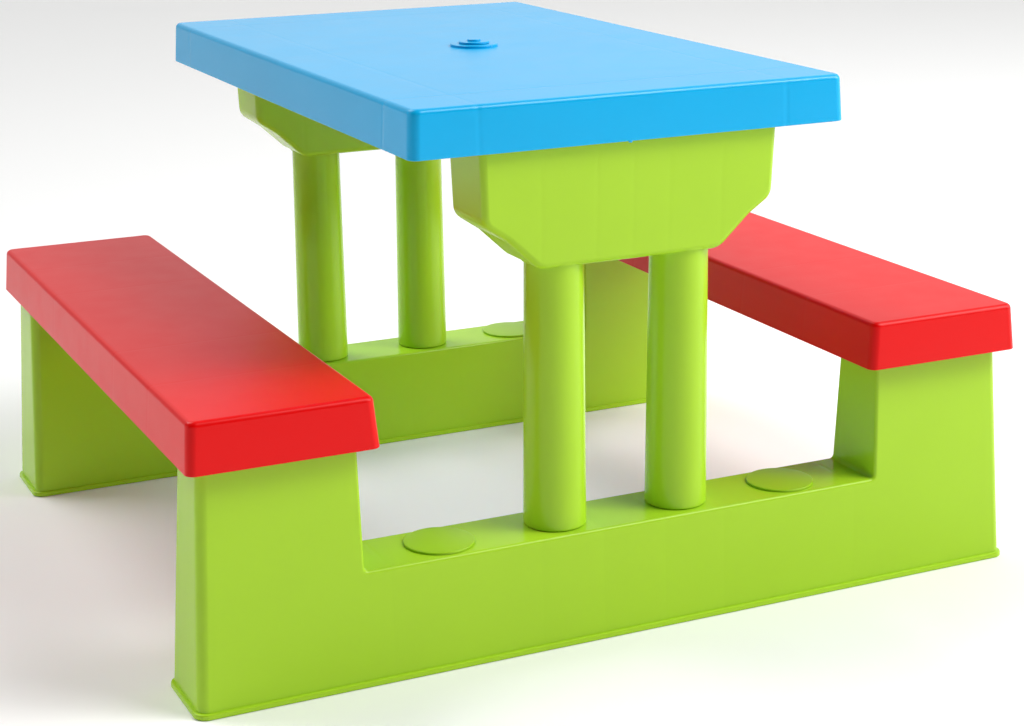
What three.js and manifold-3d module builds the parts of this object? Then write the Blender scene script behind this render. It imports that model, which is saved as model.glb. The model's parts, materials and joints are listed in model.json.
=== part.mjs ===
// A child's picnic table with two benches, moulded in coloured plastic and screwed together.
// Millimetres, +Z up. The origin is on the floor, under the middle of the tabletop.
// X runs from the left bench to the right bench, Y runs along the benches.
import * as THREE from 'three';
import { mergeVertices } from 'three/addons/utils/BufferGeometryUtils.js';
import Module from 'manifold-3d';

const wasm = await Module();
wasm.setup();

// Overall sizes; widths and lengths of tabletop and benches are those of their top faces
const tableWidth = 405;
const tableLength = 658;
const tableHeight = 480;
const seatHeight = 252.5;
const beamHeight = 100.5;
const footLength = 803;        // over both legs of an end frame, at the floor
const frameInset = 35;         // from the tabletop's end to an end frame's centre plane
const benchOverhang = 41;      // from that plane to the bench's end
const benchShift = 1.8;        // of a bench, inwards from the middle of its legs' tops

// Walls and fits
const wall = 3;
const ribThickness = 2.4;
const restGap = 0.3;           // between pieces that rest on each other
const socketClearance = 0.5;   // on the radius, between a spigot and its socket

// Tabletop
const tableSkirt = 40.5;
const tableFlare = 2.2;        // how far the skirt's foot stands out past the top face
const tableRibHeight = 13;
const tableCorner = 9;
const borderInset = 58;        // from the tabletop's edge to the border rib

// Benches
const benchWidth = 156.5;
const benchSkirt = 43.4;
const benchFlare = 3.5;
const benchRibHeight = 18;
const benchCorner = 8;
const edgeRounding = 4;        // along the top edges of tabletop and benches

// End frames: two legs and a beam in one moulding, open underneath
const footDepth = 80;
const legLean = 0.0575;        // outer face of a leg, inward per unit of height
const legWidth = 142.8;        // of a leg, at the beam's top
const legInnerLean = 0.0145;
const frameDraft = 0.048;      // front and back faces, inward per unit of height
const frameRounding = 4;
const lipWidth = 2.7;          // the lip round the foot
const lipHeight = 4.8;

// Posts
const postX = 60.7;
const postBaseRadius = 27.8;
const postTaper = 2.3;         // how much slimmer it is where it enters the bracket
const postInsert = 26;         // how far it reaches into the bracket
const spigotStep = 5.3;        // how much slimmer the stub below it is
const spigotLength = 22;

// Brackets between posts and tabletop
const bracketHeight = 127.7;
const bracketWidth = 282;      // at its open top
const bracketFloorWidth = 158;
const shoulderRise = 52;       // from the floor to the foot of the upright side
const bracketReach = 30.5;     // from the end frame's centre plane out to the outer face
const bracketDepth = 70;       // from the outer face to the inner one
const bracketSideDraft = 0.038;
const bracketFaceDraft = 0.02;
const bracketRounding = 5;
const earWidth = 15;           // fixing ears at the two ends of the top
const earHoleSpread = 36;      // between the two screws of one ear

// Covers over the spare round holes of the beams
const capX = 171.5;
const capRadius = 31;
const capHeight = 3.4;
const capSpigotRadius = 20;
const capSpigotLength = 10;

// Umbrella hole and its plug
const umbrellaRadius = 12.8;
const collarWidth = 10.2;      // the raised collar round the hole, part of the tabletop
const collarHeight = 2.4;
const sleeveLength = 30;       // the pole's sleeve, below the tabletop's skin
const sleeveFlangeWidth = 14.2;
const sleeveWall = 2.2;
const sleeveScrewOut = 7.2;    // its two screws bite into the collar
const sleeveScrewLength = 7.5;
const plugSpigotLength = 20;
const plugSteps = [[1.9, 1.9], [-6.3, 1.8]];   // radius beyond the hole's and height of each step

// Self-tapping screws
const screwShank = 1.75;
const screwHead = 4.2;
const screwHeadHeight = 2.6;
const screwPilot = screwShank + 0.45;
const bossRadius = 6;
const seatScrewSpread = 70;    // between the two screws of one leg

// Places that follow
const frameY = tableLength / 2 - frameInset;
const benchLength = 2 * (frameY + benchOverhang);
const postTopRadius = postBaseRadius - postTaper;
const spigotRadius = postBaseRadius - spigotStep;
const collarRadius = umbrellaRadius + collarWidth;
const sleeveFlange = umbrellaRadius + sleeveFlangeWidth;
const sleeveScrewX = umbrellaRadius + sleeveScrewOut;
const tableRibFoot = tableHeight - wall - tableRibHeight;
const benchRibFoot = seatHeight - wall - benchRibHeight;
const legTop = benchRibFoot - restGap;
const legGap = footLength - 2 * (legLean * beamHeight + legWidth);   // between the legs, on the beam
const legTopOutside = footLength / 2 - legLean * legTop;
const legTopInside = legGap / 2 + legInnerLean * (legTop - beamHeight);
const benchX = (legTopOutside + legTopInside) / 2 - benchShift;
const bracketTop = tableRibFoot - restGap;
const bracketBottom = bracketTop - bracketHeight;
const bracketFront = frameY + bracketReach;
const bracketBack = bracketFront - bracketDepth;
const bracketY = (bracketFront + bracketBack) / 2;
const postFoot = beamHeight + restGap;
const postTop = bracketBottom + postInsert;
const spigotFoot = postFoot - spigotLength;
const socketFloor = spigotFoot - restGap;
const socketRoof = postTop + restGap;

// Facets
const roundSteps = 16;         // facets round posts, caps and plug
const smallSteps = 8;          // facets round bosses, pilots and screws

const blue = new THREE.MeshStandardMaterial({ color: 0x2aa5e2, roughness: 0.35, metalness: 0 });
const red = new THREE.MeshStandardMaterial({ color: 0xd9222a, roughness: 0.35, metalness: 0 });
const green = new THREE.MeshStandardMaterial({ color: 0x97c92f, roughness: 0.35, metalness: 0 });
const capGreen = new THREE.MeshStandardMaterial({ color: 0x8bbb30, roughness: 0.45, metalness: 0 });
const zinc = new THREE.MeshStandardMaterial({ color: 0xb4b8bd, roughness: 0.4, metalness: 1 });

// Solids and back again

function solid(geometry) {
  geometry.deleteAttribute('normal');
  geometry.deleteAttribute('uv');
  const merged = mergeVertices(geometry, 1e-4);
  return new wasm.Manifold(new wasm.Mesh({
    numProp: 3,
    vertProperties: new Float32Array(merged.attributes.position.array),
    triVerts: new Uint32Array(merged.index.array),
  }));
}

function geometryOf(body) {
  const mesh = body.getMesh();
  const geometry = new THREE.BufferGeometry();
  geometry.setAttribute('position', new THREE.BufferAttribute(new Float32Array(mesh.vertProperties), 3));
  geometry.setIndex(new THREE.BufferAttribute(new Uint32Array(mesh.triVerts), 1));
  return geometry;
}

function box(x0, x1, y0, y1, z0, z1) {
  const geometry = new THREE.BoxGeometry(x1 - x0, y1 - y0, z1 - z0);
  return solid(geometry.translate((x0 + x1) / 2, (y0 + y1) / 2, (z0 + z1) / 2));
}

function turned(profile, x, y, steps = roundSteps) {
  const points = profile.map(([radius, z]) => new THREE.Vector2(radius, z));
  return solid(new THREE.LatheGeometry(points, steps).rotateX(Math.PI / 2).translate(x, y, 0));
}

function disc(radius, x, y, z0, z1, steps = roundSteps) {
  return turned([[0, z0], [radius, z0], [radius, z1], [0, z1]], x, y, steps);
}

function pilot(x, y, z0, z1) {
  return disc(screwPilot, x, y, z0, z1, smallSteps);
}

function union(bodies) {
  return bodies.reduce((whole, body) => whole.add(body));
}

// A rounded rectangle that changes size from level to level: levels are [z, halfX, halfY].
function roundedBlock(levels, corner, steps = 3) {
  const [, baseX, baseY] = levels[0];
  const outline = new THREE.Shape();
  [[1, -1, -90], [1, 1, 0], [-1, 1, 90], [-1, -1, 180]].forEach(([sx, sy, turn]) => {
    const start = THREE.MathUtils.degToRad(turn);
    outline.absarc(sx * (baseX - corner), sy * (baseY - corner), corner, start, start + Math.PI / 2, false);
  });
  const geometry = new THREE.ExtrudeGeometry(outline, {
    depth: levels.length - 1, steps: levels.length - 1, bevelEnabled: false, curveSegments: steps,
  });
  const position = geometry.attributes.position;
  for (let i = 0; i < position.count; i += 1) {
    const [z, halfX, halfY] = levels[Math.round(position.getZ(i))];
    const x = position.getX(i);
    const y = position.getY(i);
    position.setXYZ(i, x + Math.sign(x) * (halfX - baseX), y + Math.sign(y) * (halfY - baseY), z);
  }
  return solid(geometry);
}

// An outline in X and Z, carried along Y from y0 to y1, its two faces closing in as they rise.
function acrossBlock(outline, y0, y1, rounding, draft) {
  const geometry = new THREE.ExtrudeGeometry(outline, {
    depth: y1 - y0 - 2 * rounding, bevelEnabled: rounding > 0, bevelSegments: 1, curveSegments: 3,
    bevelThickness: rounding, bevelSize: rounding, bevelOffset: -rounding,
  });
  geometry.rotateX(Math.PI / 2).translate(0, y1 - rounding, 0);
  const middle = (y0 + y1) / 2;
  const half = (y1 - y0) / 2;
  const position = geometry.attributes.position;
  for (let i = 0; i < position.count; i += 1) {
    const y = position.getY(i) - middle;
    position.setY(i, middle + y * (1 - draft * position.getZ(i) / half));
  }
  return solid(geometry);
}

// Tabletop and benches

// A cover is an upturned tray, open below: inset by the wall, the same levels give its hollow.
function coverLevels(width, length, top, skirt, flare, inset, below) {
  const halfX = width / 2 - inset;
  const halfY = length / 2 - inset;
  const slope = flare / skirt;
  const roundFoot = top - edgeRounding;
  const out = slope * (skirt + below);
  return [
    [top - skirt - below, halfX + out, halfY + out],
    [roundFoot, halfX + slope * edgeRounding, halfY + slope * edgeRounding],
    [top - edgeRounding * 0.3, halfX - edgeRounding * 0.2, halfY - edgeRounding * 0.2],
    [top, halfX - edgeRounding, halfY - edgeRounding],
  ];
}

function cover(width, length, top, skirt, flare, corner, inside) {
  const outer = roundedBlock(coverLevels(width, length, top, skirt, flare, 0, 0), corner);
  const levels = coverLevels(width, length, top - wall, skirt - wall, flare, wall, 1);
  const hollow = roundedBlock(levels, corner - wall);
  return outer.subtract(hollow).add(outer.intersect(inside));
}

function ribsAlong(places, halfSpan, z0, z1) {
  return places.map((x) => box(x - ribThickness / 2, x + ribThickness / 2, -halfSpan, halfSpan, z0, z1));
}

function ribsAcross(places, halfSpan, z0, z1) {
  return places.map((y) => box(-halfSpan, halfSpan, y - ribThickness / 2, y + ribThickness / 2, z0, z1));
}

// The four places where one bracket's ears are screwed up into the tabletop
function earHoles(side) {
  const x = bracketWidth / 2 + earWidth / 2;
  return [[-1, -1], [1, -1], [-1, 1], [1, 1]].map(([sx, sy]) => (
    [sx * x, side * bracketY + sy * earHoleSpread / 2]));
}

// The places where one leg is screwed up into its bench
function seatHoles(benchSide, frameSide) {
  return [-1, 1].map((s) => [benchSide * benchX + s * seatScrewSpread / 2, frameSide * frameY]);
}

function tabletop() {
  const skin = tableHeight - wall;
  const plate = tableHeight - wall / 2;
  const borderX = tableWidth / 2 - borderInset;
  const borderY = tableLength / 2 - borderInset;
  const bosses = [-1, 1].flatMap(earHoles);
  const inside = union([
    ...ribsAlong([-borderX, 0, borderX], tableLength / 2, tableRibFoot, plate),
    ...ribsAcross([-borderY, -borderY / 3, borderY / 3, borderY], tableWidth / 2, tableRibFoot, plate),
    ...bosses.map(([x, y]) => disc(bossRadius, x, y, tableRibFoot, plate, smallSteps)),
  ]).subtract(disc(sleeveFlange + wall, 0, 0, tableRibFoot - 1, skin));
  const shell = cover(tableWidth, tableLength, tableHeight, tableSkirt, tableFlare, tableCorner, inside);
  const pilots = bosses.map(([x, y]) => pilot(x, y, tableRibFoot - 1, skin - 1));
  const collarTop = tableHeight + collarHeight;
  const collar = turned([
    [0, plate], [collarRadius, plate], [collarRadius, tableHeight], [collarRadius - 0.4, collarTop],
    [0, collarTop],
  ], 0, 0);
  const bore = disc(umbrellaRadius, 0, 0, skin - 1, collarTop + 1);
  const sleevePilots = [-1, 1].map((s) => pilot(s * sleeveScrewX, 0, skin - 1, collarTop - 1));
  return shell.add(collar).subtract(union([...pilots, ...sleevePilots, bore]));
}

// One bench, made round x = 0 and moved to its side
function bench(side) {
  const plate = seatHeight - wall / 2;
  const bosses = [-1, 1].flatMap((frameSide) => seatHoles(side, frameSide))
    .map(([x, y]) => [x - side * benchX, y]);
  const step = benchLength / 6;
  const inside = union([
    ...ribsAlong([-benchWidth / 5, benchWidth / 5], benchLength / 2, benchRibFoot, plate),
    ...ribsAcross([-2, -1, 0, 1, 2].map((i) => i * step), benchWidth / 2, benchRibFoot, plate),
    ...bosses.map(([x, y]) => disc(bossRadius, x, y, benchRibFoot, plate, smallSteps)),
  ]);
  const shell = cover(benchWidth, benchLength, seatHeight, benchSkirt, benchFlare, benchCorner, inside);
  const pilots = bosses.map(([x, y]) => pilot(x, y, benchRibFoot - 1, seatHeight - wall - 1));
  return shell.subtract(union(pilots)).translate([side * benchX, 0, 0]);
}

// End frames

// The outline of legs and beam, drawn inset by a wall for the hollow; it runs on below the floor.
function frameOutline(inset) {
  const below = -15;
  const outer = (z) => footLength / 2 - legLean * z - inset;
  const inner = (z) => legGap / 2 + legInnerLean * (z - beamHeight) + inset;
  const top = legTop - inset;
  const beam = beamHeight - inset;
  const fillet = 4;
  const outline = new THREE.Shape();
  outline.moveTo(-outer(below), below);
  outline.lineTo(outer(below), below);
  outline.lineTo(outer(top), top);
  outline.lineTo(inner(top), top);
  outline.lineTo(inner(beam + fillet), beam + fillet);
  outline.quadraticCurveTo(inner(beam), beam, inner(beam) - fillet, beam);
  outline.lineTo(-inner(beam) + fillet, beam);
  outline.quadraticCurveTo(-inner(beam), beam, -inner(beam + fillet), beam + fillet);
  outline.lineTo(-inner(top), top);
  outline.lineTo(-outer(top), top);
  outline.closePath();
  return outline;
}

function foot(z0, z1, inset) {
  const halfX = footLength / 2 + lipWidth - inset;
  const halfY = footDepth / 2 + lipWidth - inset;
  const shrink = lipWidth - 0.5;
  return roundedBlock([
    [z0, halfX, halfY], [z1 - 1.5, halfX, halfY], [z1, halfX - shrink, halfY - shrink],
  ], frameRounding + lipWidth);
}

// A cup that hangs from the beam's top and holds a spigot; its floor carries the screw
function cup(x, radius, floor) {
  return disc(radius + wall, x, 0, floor - wall, beamHeight - wall / 2);
}

function endFrame(side) {
  const half = footDepth / 2;
  const outer = acrossBlock(frameOutline(0), -half, half, frameRounding, frameDraft);
  const hollow = acrossBlock(frameOutline(wall), -half + wall, half - wall, 0, frameDraft);
  const postBore = spigotRadius + socketClearance;
  const capBore = capSpigotRadius + socketClearance;
  const collarFoot = beamHeight - wall - capSpigotLength;
  const ribPlaces = [-1, 1].flatMap((s) => [s * (postX + capX) / 2, s * (capX + legGap / 2) / 2]);
  const ribs = [0, ...ribPlaces].map((x) => (
    box(x - ribThickness / 2, x + ribThickness / 2, -half, half, lipHeight + 2, beamHeight - wall / 2)));
  const inside = union([
    ...ribs,
    ...[-postX, postX].map((x) => cup(x, postBore, socketFloor)),
    ...[-capX, capX].map((x) => disc(capBore + wall, x, 0, collarFoot, beamHeight - wall / 2)),
  ]);
  const cuts = [
    box(-footLength, footLength, -footDepth, footDepth, -30, 0),
    ...[-postX, postX].map((x) => disc(postBore, x, 0, socketFloor, beamHeight + 1)),
    ...[-postX, postX].map((x) => pilot(x, 0, socketFloor - wall - 1, socketFloor + 1)),
    ...[-capX, capX].map((x) => disc(capBore, x, 0, collarFoot - 1, beamHeight + 1)),
    ...[-1, 1].flatMap((s) => seatHoles(s, side))
      .map(([x]) => pilot(x, 0, legTop - wall - 1, legTop + 1)),
  ];
  const lip = foot(0, lipHeight, 0);
  return outer.add(lip).subtract(hollow).add(outer.intersect(inside)).subtract(union(cuts))
    .translate([0, side * frameY, 0]);
}

// Brackets

// Upright sides, a rounded shoulder, a slope that steepens, and a rounded foot
function bracketOutline(inset, top) {
  const upright = (z) => bracketWidth / 2 - bracketSideDraft * (bracketTop - z) - inset;
  const floor = bracketBottom + inset;
  const floorHalf = bracketFloorWidth / 2 - inset * 0.4;
  const shoulder = bracketBottom + shoulderRise + inset * 0.3;
  const side = upright(shoulder);
  const reach = side - floorHalf;
  const rise = shoulder - floor;
  const slope = (along, up) => [floorHalf + along * reach, floor + up * rise];
  const outline = new THREE.Shape();
  outline.moveTo(-floorHalf, floor);
  outline.lineTo(floorHalf, floor);
  outline.quadraticCurveTo(...slope(0.2, 0.02), ...slope(0.42, 0.3));
  outline.lineTo(...slope(0.6, 0.5));
  outline.quadraticCurveTo(...slope(0.68, 0.6), ...slope(0.78, 0.66));
  outline.quadraticCurveTo(...slope(1, 0.78), ...slope(1, 1));
  outline.lineTo(upright(top), top);
  outline.lineTo(-upright(top), top);
  const back = (along, up) => slope(along, up).map((value, i) => (i ? value : -value));
  outline.lineTo(...back(1, 1));
  outline.quadraticCurveTo(...back(1, 0.78), ...back(0.78, 0.66));
  outline.quadraticCurveTo(...back(0.68, 0.6), ...back(0.6, 0.5));
  outline.lineTo(...back(0.42, 0.3));
  outline.quadraticCurveTo(...back(0.2, 0.02), -floorHalf, floor);
  return outline;
}

// Made as the bracket at +Y and turned to its side, so that its outer face looks outwards
function bracket(side) {
  const faces = (outline, inset, rounding) => {
    const half = (bracketFront - bracketBack) / 2 - inset - bracketFaceDraft * bracketTop;
    return acrossBlock(outline, bracketY - half, bracketY + half, rounding, -bracketFaceDraft);
  };
  const outer = faces(bracketOutline(0, bracketTop + 20), 0, bracketRounding);
  const hollow = faces(bracketOutline(wall, bracketTop + 30), wall, 0);
  const bore = postTopRadius + socketClearance;
  const sockets = [-postX, postX].map((x) => disc(bore + wall, x, frameY, bracketBottom, socketRoof + wall));
  const webTop = bracketTop - (bracketTop - bracketBottom) / 4;
  const webs = [-postX, 0, postX].map((x) => box(x - ribThickness / 2, x + ribThickness / 2,
    bracketBack, bracketFront, x ? socketRoof : bracketBottom, webTop));
  const trim = box(-tableWidth, tableWidth, 0, tableLength, bracketTop, bracketTop + 60);
  const shell = outer.subtract(hollow).add(outer.intersect(union([...sockets, ...webs]))).subtract(trim);
  const ears = [-1, 1].map((s) => {
    const [x0, x1] = [s * (bracketWidth / 2 - wall), s * (bracketWidth / 2 + earWidth)].sort((a, b) => a - b);
    const [y0, y1] = [bracketBack + bracketRounding, bracketFront - bracketRounding];
    return box(x0, x1, y0, y1, bracketTop - wall, bracketTop);
  });
  const holes = [
    ...[-postX, postX].map((x) => disc(bore, x, frameY, bracketBottom - 1, socketRoof)),
    ...[-postX, postX].map((x) => pilot(x, frameY, socketRoof - 1, socketRoof + wall + 1)),
    ...[-postX, postX].map((x) => disc(screwHead + 1, x, frameY, socketRoof + wall, bracketTop, smallSteps)),
    ...earHoles(1).map(([x, y]) => pilot(x, y, bracketTop - wall - 1, bracketTop + 1)),
  ];
  return shell.add(union(ears)).subtract(union(holes)).rotate([0, 0, side > 0 ? 0 : 180]);
}

// Posts, covers, plug and screws

// A tapered tube with a spigot below and a boss for a screw in each end
function post(x, y) {
  const taper = (postBaseRadius - postTopRadius) / (bracketBottom - postFoot);
  const radiusAt = (z) => postBaseRadius - taper * (z - postFoot);
  const bossLength = 12;
  return turned([
    [screwPilot, spigotFoot],
    [spigotRadius, spigotFoot],
    [spigotRadius, postFoot],
    [postBaseRadius - 1.5, postFoot],
    [postBaseRadius, postFoot + 1.5],
    [radiusAt(postTop), postTop],
    [screwPilot, postTop],
    [screwPilot, postTop - bossLength],
    [bossRadius, postTop - bossLength],
    [bossRadius, postTop - wall],
    [radiusAt(postTop) - wall, postTop - wall],
    [postBaseRadius - wall, postFoot + 6],
    [spigotRadius - wall, postFoot],
    [spigotRadius - wall, spigotFoot + wall],
    [bossRadius, spigotFoot + wall],
    [bossRadius, spigotFoot + bossLength],
    [screwPilot, spigotFoot + bossLength],
    [screwPilot, spigotFoot],
  ], x, y);
}

function beamCap(x, y) {
  const base = beamHeight + restGap;
  const skin = 1.6;
  return turned([
    [0, base + skin],
    [capSpigotRadius - skin, base + skin],
    [capSpigotRadius - skin, base - capSpigotLength],
    [capSpigotRadius, base - capSpigotLength],
    [capSpigotRadius, base],
    [capRadius, base],
    [capRadius, base + capHeight * 0.4],
    [capRadius - 1.2, base + capHeight * 0.7],
    [capRadius * 0.7, base + capHeight * 0.9],
    [0, base + capHeight],
  ], x, y);
}

// A flanged tube under the tabletop that steadies the umbrella's pole
function umbrellaSleeve() {
  const top = tableHeight - wall - restGap;
  const bore = umbrellaRadius + 0.4;
  const foot = tableHeight - wall - sleeveLength;
  const tube = turned([
    [bore, foot], [bore + sleeveWall, foot], [bore + sleeveWall, top - wall], [sleeveFlange, top - wall],
    [sleeveFlange, top], [bore, top], [bore, foot],
  ], 0, 0);
  const holes = [-1, 1].map((s) => pilot(s * sleeveScrewX, 0, top - wall - 1, top + 1));
  return tube.subtract(union(holes));
}

function umbrellaPlug() {
  const base = tableHeight + collarHeight + restGap;
  const skin = 1.8;
  const spigot = umbrellaRadius - socketClearance;
  const rings = [];
  let z = base;
  plugSteps.forEach(([beyond, height]) => {
    const radius = umbrellaRadius + beyond;
    rings.push([radius, z], [radius - 0.4, z + height]);
    z += height;
  });
  return turned([
    [0, base + skin],
    [spigot - skin, base + skin],
    [spigot - skin, base - plugSpigotLength],
    [spigot, base - plugSpigotLength],
    [spigot, base],
    ...rings,
    [0, z],
  ], 0, 0);
}

// A pan-headed screw: its head's seat at z, its shank pointing up (way 1) or down (way -1)
function screw(x, y, z, way, length) {
  const profile = [
    [0, -screwHeadHeight], [screwHead * 0.8, -screwHeadHeight], [screwHead, 0],
    [screwShank, 0], [screwShank, length - 3], [0, length],
  ];
  const placed = profile.map(([radius, along]) => [radius, z + way * along]);
  return turned(way > 0 ? placed : placed.reverse(), x, y, smallSteps);
}

// The assembly

const model = new THREE.Group();

function add(name, body, material) {
  const mesh = new THREE.Mesh(geometryOf(body), material);
  mesh.name = name;
  model.add(mesh);
}

const ends = [['front', -1], ['back', 1]];
const hands = [['left', -1], ['right', 1]];

add('tabletop', tabletop(), blue);
add('umbrella_sleeve', umbrellaSleeve(), blue);
add('umbrella_plug', umbrellaPlug(), blue);
hands.forEach(([hand, sx]) => add(`bench_${hand}`, bench(sx), red));

[-1, 1].forEach((s, i) => {
  const seat = tableHeight - 2 * (wall + restGap);
  add(`sleeve_screw_${i + 1}`, screw(s * sleeveScrewX, 0, seat, 1, sleeveScrewLength), zinc);
});

ends.forEach(([end, sy]) => {
  add(`end_frame_${end}`, endFrame(sy), green);
  add(`bracket_${end}`, bracket(sy), green);
  hands.forEach(([hand, sx]) => {
    const place = `${end}_${hand}`;
    add(`post_${place}`, post(sx * postX, sy * frameY), green);
    add(`beam_cap_${place}`, beamCap(sx * capX, sy * frameY), capGreen);
    const under = socketFloor - wall - restGap;
    add(`post_foot_screw_${place}`, screw(sx * postX, sy * frameY, under, 1, 14), zinc);
    const above = socketRoof + wall + restGap;
    add(`post_top_screw_${place}`, screw(sx * postX, sy * frameY, above, -1, 14), zinc);
    seatHoles(sx, sy).forEach(([x, y], i) => {
      add(`seat_screw_${place}_${i + 1}`, screw(x, y, legTop - wall - restGap, 1, 16), zinc);
    });
  });
  earHoles(sy).forEach(([x, y], i) => {
    add(`table_screw_${end}_${i + 1}`, screw(x, y, bracketTop - wall - restGap, 1, 14), zinc);
  });
});

export default model;
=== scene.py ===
# A child's picnic table with two benches, moulded in coloured polypropylene and screwed together.
import json
import math

import bpy
import numpy as np
from mathutils import Matrix, Vector

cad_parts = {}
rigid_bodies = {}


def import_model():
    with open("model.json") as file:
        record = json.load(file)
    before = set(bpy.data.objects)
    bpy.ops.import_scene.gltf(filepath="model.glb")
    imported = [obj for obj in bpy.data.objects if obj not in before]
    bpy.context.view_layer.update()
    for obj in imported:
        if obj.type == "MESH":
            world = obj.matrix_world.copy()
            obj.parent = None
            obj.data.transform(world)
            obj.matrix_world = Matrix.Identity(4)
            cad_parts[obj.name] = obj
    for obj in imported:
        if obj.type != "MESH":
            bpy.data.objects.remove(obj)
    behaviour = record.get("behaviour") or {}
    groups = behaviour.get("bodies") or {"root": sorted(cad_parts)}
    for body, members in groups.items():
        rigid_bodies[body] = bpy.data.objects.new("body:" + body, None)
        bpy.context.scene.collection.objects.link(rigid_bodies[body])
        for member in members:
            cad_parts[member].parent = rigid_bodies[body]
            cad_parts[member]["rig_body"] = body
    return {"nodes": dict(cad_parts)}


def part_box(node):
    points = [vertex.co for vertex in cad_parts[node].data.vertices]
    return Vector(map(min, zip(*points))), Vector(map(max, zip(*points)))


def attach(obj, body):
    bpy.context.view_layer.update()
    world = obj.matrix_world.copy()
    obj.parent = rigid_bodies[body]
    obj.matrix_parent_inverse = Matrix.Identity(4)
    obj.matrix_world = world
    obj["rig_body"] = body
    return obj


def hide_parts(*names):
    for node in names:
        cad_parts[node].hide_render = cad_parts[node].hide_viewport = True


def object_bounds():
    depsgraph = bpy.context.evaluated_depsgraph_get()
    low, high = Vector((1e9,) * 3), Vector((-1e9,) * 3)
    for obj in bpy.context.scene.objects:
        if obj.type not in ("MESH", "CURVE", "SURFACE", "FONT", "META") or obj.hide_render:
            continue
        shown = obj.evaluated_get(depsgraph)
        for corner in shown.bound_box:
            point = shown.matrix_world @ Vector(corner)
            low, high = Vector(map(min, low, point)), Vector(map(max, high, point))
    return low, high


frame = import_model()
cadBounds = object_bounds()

mm = 0.001
past = 1                               # mm that a cutting body goes past the wall that it cuts
boreColumns = 64                       # columns round a bore or socket; smaller round bodies have fewer
leadWidth, leadHeight = 0.5, 0.8       # mm, the chamfer at the end of a spigot that is pushed into a hole
scene = bpy.context.scene


# Small tools

def hexColour(code):
    # sRGB hex to linear red, green, blue and a full alpha
    value = np.array([int(code[i:i + 2], 16) for i in (1, 3, 5)]) / 255
    linear = np.where(value <= 0.04045, value / 12.92, ((value + 0.055) / 1.055) ** 2.4)
    return (*linear.tolist(), 1.0)


def cadBox(node):
    # A node's lowest and highest corners in mm
    return [np.array(corner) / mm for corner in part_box(node)]


def middleOf(node):
    low, high = cadBox(node)
    return (low + high) / 2


def placesOf(start):
    # Where the nodes whose names start like this stand, as X and Y
    return [tuple(middleOf(name)[:2]) for name in sorted(frame["nodes"]) if name.startswith(start)]


def addNode(tree, kind, settings, links):
    # One node with its settings, by property or input name, and its links, each input: (node, output)
    node = tree.nodes.new(kind)
    for key, value in settings.items():
        if isinstance(key, str) and hasattr(node, key):
            setattr(node, key, value)
        else:
            node.inputs[key].default_value = value
    for key, (source, output) in links.items():
        tree.links.new(source.outputs[output], node.inputs[key])
    return node


# Camera, lights and floor

camera = {
    "place": (-0.8024, -1.7920, 0.7369),  # metres
    "turn": -25.10,                       # degrees about the upright, from looking along +Y
    "tip": 16.37,                         # degrees down
    "roll": -0.59,
    "lens": 71.25,                        # mm on a 36 mm sensor
}


def addCamera(s):
    data = bpy.data.cameras.new("camera")
    data.lens = s["lens"]
    data.sensor_width = 36
    data.clip_start = 0.01
    obj = bpy.data.objects.new("camera", data)
    turn, tip, roll = (math.radians(s[k]) for k in ("turn", "tip", "roll"))
    obj.matrix_world = (Matrix.Translation(s["place"]) @ Matrix.Rotation(turn, 4, "Z")
                        @ Matrix.Rotation(math.pi / 2 - tip, 4, "X") @ Matrix.Rotation(roll, 4, "Z"))
    scene.collection.objects.link(obj)
    scene.camera = obj


lights = {
    "worldFront": 0.05,  # strength round the camera
    "worldBack": 0.78,   # strength of the pale wall behind the table
    "wallTurn": -45.0,   # degrees about the upright, from looking along +Y, as for the camera
    "riseFrom": -0.1,    # cosine of the angle to the wall's direction at which the rise starts
    "riseTo": 0.9,       # and at which it ends
    "aimHeight": 0.25,   # metres
    # Turn is in degrees from -Y towards +X and lift in degrees up. A softbox stands at a distance in
    # metres and is that wide; a sun has none, and its width is in degrees.
    "sources": {
        "key": {"turn": 62, "lift": 30, "distance": 4.0, "width": 2.2, "strength": 96},
        "front": {"turn": 44, "lift": 52, "distance": 4.0, "width": 1.6, "strength": 76},
        "back": {"turn": -150, "lift": 52, "distance": 0, "width": 40, "strength": 1.75},
        "side": {"turn": -110, "lift": 12, "distance": 0, "width": 40, "strength": 0.4},
    },
}


def addWorld(s):
    # Its strength rises smoothly from the camera's side to the wall's side
    world = bpy.data.worlds.new("studio")
    world.use_nodes = True
    tree = world.node_tree
    turn = math.radians(s["wallTurn"])
    wall = (-math.sin(turn), math.cos(turn), 0)
    direction = addNode(tree, "ShaderNodeTexCoord", {}, {})
    facing = addNode(tree, "ShaderNodeVectorMath", {"operation": "DOT_PRODUCT", 1: wall},
                     {0: (direction, "Generated")})
    strength = addNode(tree, "ShaderNodeMapRange", {
        "interpolation_type": "SMOOTHSTEP", "From Min": s["riseFrom"], "From Max": s["riseTo"],
        "To Min": s["worldFront"], "To Max": s["worldBack"]}, {"Value": (facing, "Value")})
    tree.links.new(strength.outputs[0], tree.nodes["Background"].inputs["Strength"])
    tree.nodes["Background"].inputs["Color"].default_value = (1, 1, 1, 1)
    scene.world = world


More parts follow.
